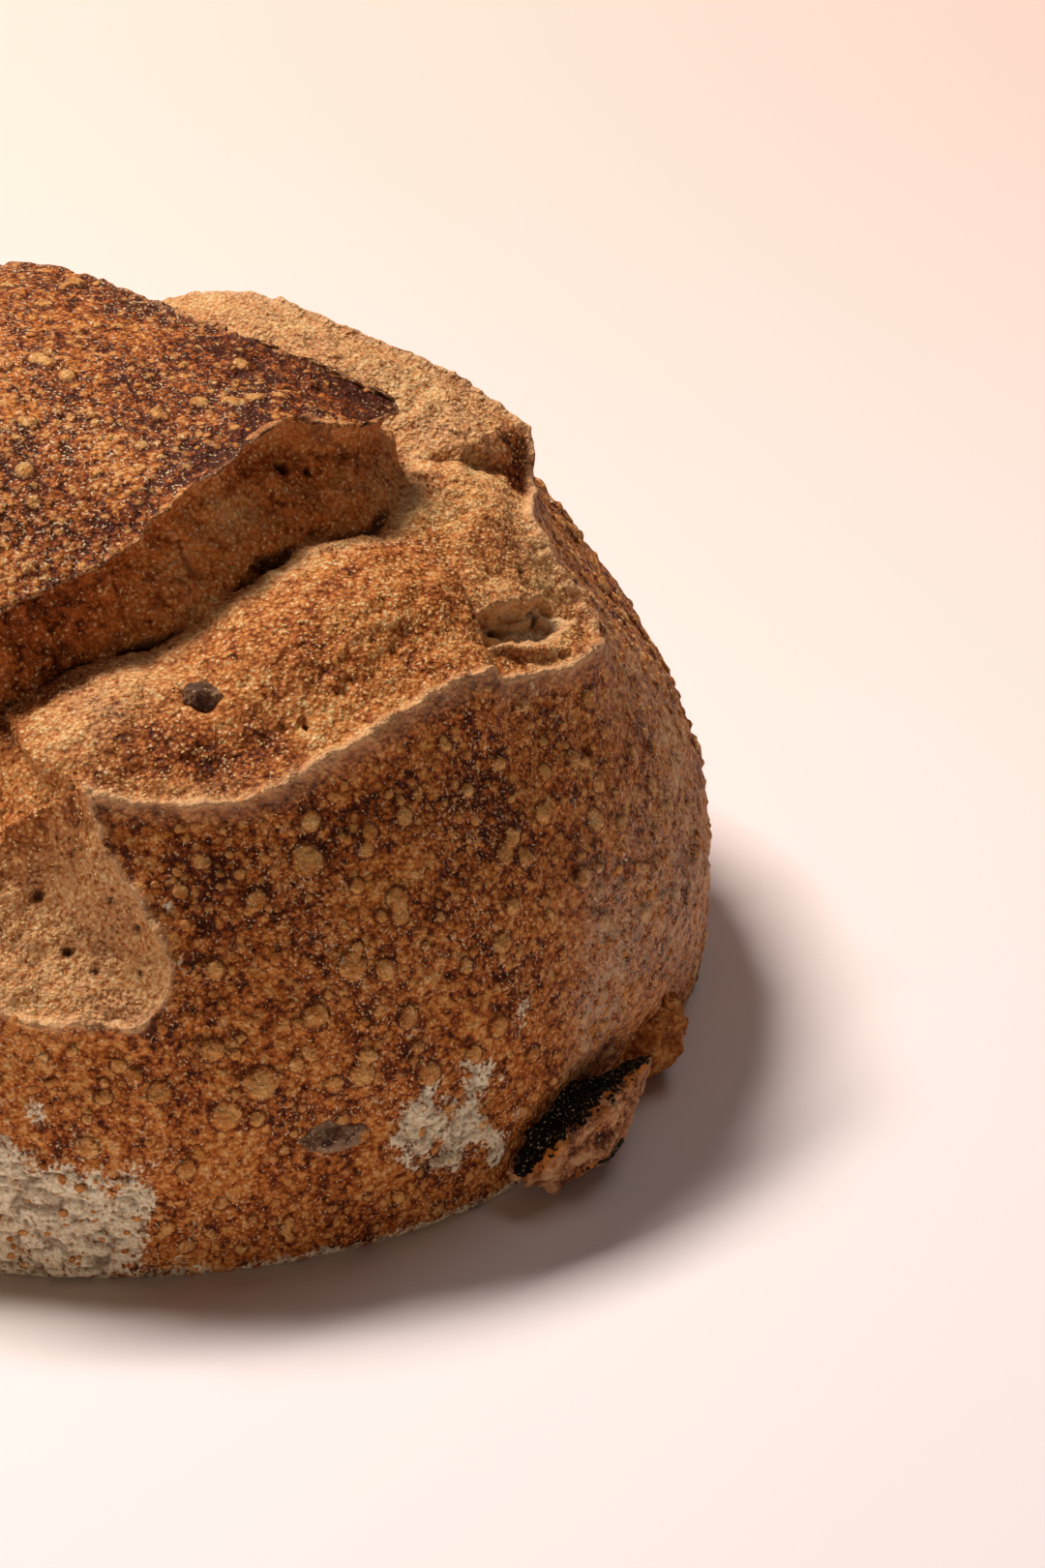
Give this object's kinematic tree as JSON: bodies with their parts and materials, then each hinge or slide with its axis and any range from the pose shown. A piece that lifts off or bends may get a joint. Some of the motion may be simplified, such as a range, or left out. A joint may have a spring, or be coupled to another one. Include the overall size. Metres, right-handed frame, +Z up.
{
  "type": "raisin walnut bread loaf",
  "caption": "Round crusty hearth loaf with a four-cut scored top torn open around a raised island of crust, with walnuts and raisins at its skin.",
  "frame": {"origin": "middle of the base of the bread's box, on the surface that it stands on", "axes": "+Z up, +Y away from the side that the picture shows, +X to the right in the picture"},
  "size_m": [0.2026, 0.1954, 0.1218],
  "materials": {
    "crust": "baked rye and wheat crust, matt, blistered, floured at the foot",
    "walnut": "scorched walnut, matt to satin",
    "raisin": "baked raisin, wrinkled, satin"
  },
  "bodies": {
    "root": {"loaf": "crust", "walnut_front": "walnut", "walnut_side": "walnut", "walnut_back": "walnut", "raisin_band": "raisin", "raisin_foot": "raisin", "raisin_left": "raisin", "raisin_back": "raisin", "raisin_pocket": "raisin"}
  },
  "joints": []
}
